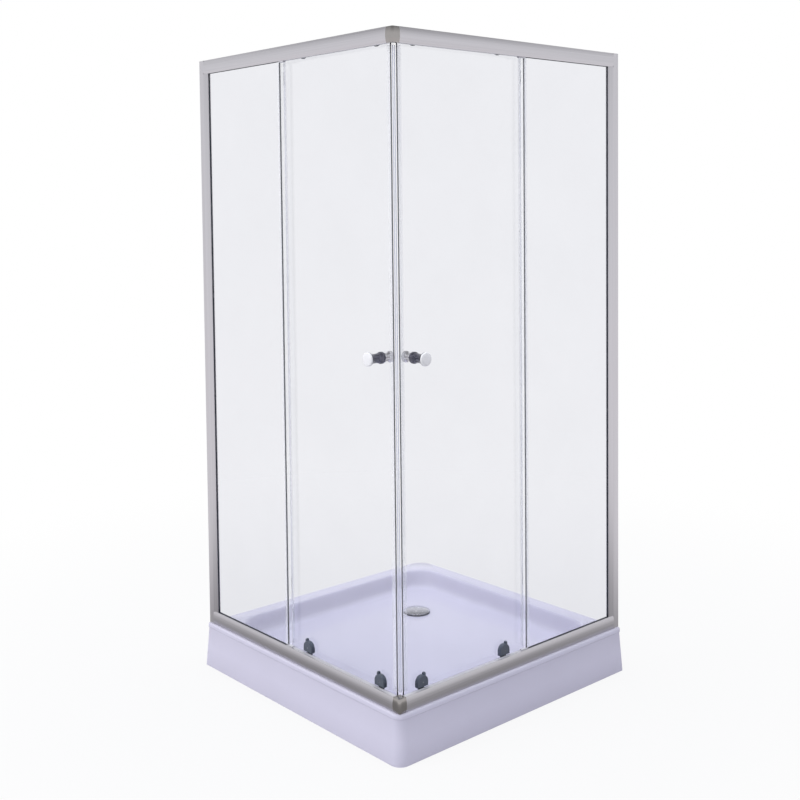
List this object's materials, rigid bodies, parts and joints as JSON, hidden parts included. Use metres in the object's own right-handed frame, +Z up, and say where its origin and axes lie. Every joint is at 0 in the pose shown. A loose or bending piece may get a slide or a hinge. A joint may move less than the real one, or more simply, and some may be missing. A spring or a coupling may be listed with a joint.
{
  "type": "shower enclosure",
  "caption": "Square corner shower enclosure: two glass sides with fixed panes and sliding doors on rollers, over a low tray with a covered drain",
  "frame": {"origin": "centre of the bounding box at the floor", "axes": "+Z up; the two room walls are at -X and +Y, the entry corner faces +X and -Y"},
  "size_m": [0.91, 0.91, 1.85],
  "materials": {
    "tray_acrylic": "glossy white acrylic",
    "support_board": "bonded board",
    "steel": "zinc plated",
    "black_plastic": "moulded",
    "white_plastic": "moulded",
    "chrome": "polished",
    "chrome_plastic": "chrome-plated plastic",
    "satin_aluminium": "satin anodised",
    "safety_glass": "clear toughened",
    "clear_seal": "translucent flexible strip",
    "magnet": "flexible magnet",
    "gasket": "matt",
    "grey_plastic": "moulded slate grey",
    "wheel_plastic": "acetal"
  },
  "bodies": {
    "enclosure": {"tray": "tray_acrylic", "tray_board": "support_board", "tray_legs": "steel", "tray_foot_pads": "black_plastic", "drain_flange": "chrome", "drain_trap": "white_plastic", "bottom_corner_connector": "chrome_plastic", "top_corner_connector": "chrome_plastic", "left_bottom_rail": "satin_aluminium", "right_bottom_rail": "satin_aluminium", "left_top_rail": "satin_aluminium", "right_top_rail": "satin_aluminium", "left_wall_channel": "satin_aluminium", "right_wall_channel": "satin_aluminium", "left_stile": "satin_aluminium", "right_stile": "satin_aluminium", "left_fixed_glass": "safety_glass", "right_fixed_glass": "safety_glass", "left_fixed_seal": "clear_seal", "right_fixed_seal": "clear_seal", "glazing_gaskets": "gasket", "slot_strips": "satin_aluminium", "rail_stops": "black_plastic", "frame_screws": "steel"},
    "drain_cover": {"drain_cover": "chrome"},
    "left_door": {"left_door_glass": "safety_glass", "left_magnetic_seal": "clear_seal", "left_magnet_strip": "magnet", "left_trailing_seal": "clear_seal", "left_top_roller_mounts": "grey_plastic", "left_roller_housings": "grey_plastic", "left_release_spring_1": "steel", "left_release_spring_2": "steel", "left_outer_knob": "chrome", "left_knob_cap": "white_plastic", "left_inner_knob": "chrome"},
    "left_top_wheel_1": {"left_top_wheel_1": "wheel_plastic"},
    "left_release_slider_1": {"left_release_slider_1": "grey_plastic"},
    "left_bottom_wheel_1": {"left_bottom_wheel_1": "wheel_plastic"},
    "left_top_wheel_2": {"left_top_wheel_2": "wheel_plastic"},
    "left_release_slider_2": {"left_release_slider_2": "grey_plastic"},
    "left_bottom_wheel_2": {"left_bottom_wheel_2": "wheel_plastic"},
    "right_door": {"right_door_glass": "safety_glass", "right_magnetic_seal": "clear_seal", "right_magnet_strip": "magnet", "right_trailing_seal": "clear_seal", "right_top_roller_mounts": "grey_plastic", "right_roller_housings": "grey_plastic", "right_release_spring_1": "steel", "right_release_spring_2": "steel", "right_outer_knob": "chrome", "right_knob_cap": "white_plastic", "right_inner_knob": "chrome"},
    "right_top_wheel_1": {"right_top_wheel_1": "wheel_plastic"},
    "right_release_slider_1": {"right_release_slider_1": "grey_plastic"},
    "right_bottom_wheel_1": {"right_bottom_wheel_1": "wheel_plastic"},
    "right_top_wheel_2": {"right_top_wheel_2": "wheel_plastic"},
    "right_release_slider_2": {"right_release_slider_2": "grey_plastic"},
    "right_bottom_wheel_2": {"right_bottom_wheel_2": "wheel_plastic"}
  },
  "joints": [
    {"name": "left_door_slide", "type": "slide", "parent": "enclosure", "child": "left_door", "axis": [-1, 0, 0], "range_m": [0, 0.335]},
    {"name": "right_door_slide", "type": "slide", "parent": "enclosure", "child": "right_door", "axis": [0, 1, 0], "range_m": [0, 0.335]},
    {"name": "left_top_wheel_1_spin", "type": "hinge", "parent": "left_door", "child": "left_top_wheel_1", "pos_m": [0.334, -0.41155, 1.83155], "axis": [0, -1, 0], "range_deg": [-10, 2030.43]},
    {"name": "left_release_1", "type": "slide", "parent": "left_door", "child": "left_release_slider_1", "axis": [0, 0, -1], "range_m": [0, 0.005], "stiffness_N_per_m": 800, "springref_m": -0.006, "deforming": ["left_release_spring_1"]},
    {"name": "left_bottom_wheel_1_spin", "type": "hinge", "parent": "left_release_slider_1", "child": "left_bottom_wheel_1", "pos_m": [0.334, -0.41155, 0.14845], "axis": [0, 1, 0], "range_deg": [-10, 2030.43]},
    {"name": "left_top_wheel_2_spin", "type": "hinge", "parent": "left_door", "child": "left_top_wheel_2", "pos_m": [0.027, -0.41155, 1.83155], "axis": [0, -1, 0], "range_deg": [-10, 2030.43]},
    {"name": "left_release_2", "type": "slide", "parent": "left_door", "child": "left_release_slider_2", "axis": [0, 0, -1], "range_m": [0, 0.005], "stiffness_N_per_m": 800, "springref_m": -0.006, "deforming": ["left_release_spring_2"]},
    {"name": "left_bottom_wheel_2_spin", "type": "hinge", "parent": "left_release_slider_2", "child": "left_bottom_wheel_2", "pos_m": [0.027, -0.41155, 0.14845], "axis": [0, 1, 0], "range_deg": [-10, 2030.43]},
    {"name": "right_top_wheel_1_spin", "type": "hinge", "parent": "right_door", "child": "right_top_wheel_1", "pos_m": [0.41155, -0.334, 1.83155], "axis": [-1, 0, 0], "range_deg": [-10, 2030.43]},
    {"name": "right_release_1", "type": "slide", "parent": "right_door", "child": "right_release_slider_1", "axis": [0, 0, -1], "range_m": [0, 0.005], "stiffness_N_per_m": 800, "springref_m": -0.006, "deforming": ["right_release_spring_1"]},
    {"name": "right_bottom_wheel_1_spin", "type": "hinge", "parent": "right_release_slider_1", "child": "right_bottom_wheel_1", "pos_m": [0.41155, -0.334, 0.14845], "axis": [1, 0, 0], "range_deg": [-10, 2030.43]},
    {"name": "right_top_wheel_2_spin", "type": "hinge", "parent": "right_door", "child": "right_top_wheel_2", "pos_m": [0.41155, -0.027, 1.83155], "axis": [-1, 0, 0], "range_deg": [-10, 2030.43]},
    {"name": "right_release_2", "type": "slide", "parent": "right_door", "child": "right_release_slider_2", "axis": [0, 0, -1], "range_m": [0, 0.005], "stiffness_N_per_m": 800, "springref_m": -0.006, "deforming": ["right_release_spring_2"]},
    {"name": "right_bottom_wheel_2_spin", "type": "hinge", "parent": "right_release_slider_2", "child": "right_bottom_wheel_2", "pos_m": [0.41155, -0.027, 0.14845], "axis": [1, 0, 0], "range_deg": [-10, 2030.43]},
    {"name": "drain_cover_lift", "type": "slide", "parent": "enclosure", "child": "drain_cover", "axis": [0, 0, 1], "range_m": [0, 0.06]}
  ],
  "couplings": [
    {"joint": "left_top_wheel_1_spin", "follows": "left_door_slide", "rad_per_m": 105.26},
    {"joint": "left_bottom_wheel_1_spin", "follows": "left_door_slide", "rad_per_m": 105.26},
    {"joint": "left_top_wheel_2_spin", "follows": "left_door_slide", "rad_per_m": 105.26},
    {"joint": "left_bottom_wheel_2_spin", "follows": "left_door_slide", "rad_per_m": 105.26},
    {"joint": "right_top_wheel_1_spin", "follows": "right_door_slide", "rad_per_m": 105.26},
    {"joint": "right_bottom_wheel_1_spin", "follows": "right_door_slide", "rad_per_m": 105.26},
    {"joint": "right_top_wheel_2_spin", "follows": "right_door_slide", "rad_per_m": 105.26},
    {"joint": "right_bottom_wheel_2_spin", "follows": "right_door_slide", "rad_per_m": 105.26}
  ]
}
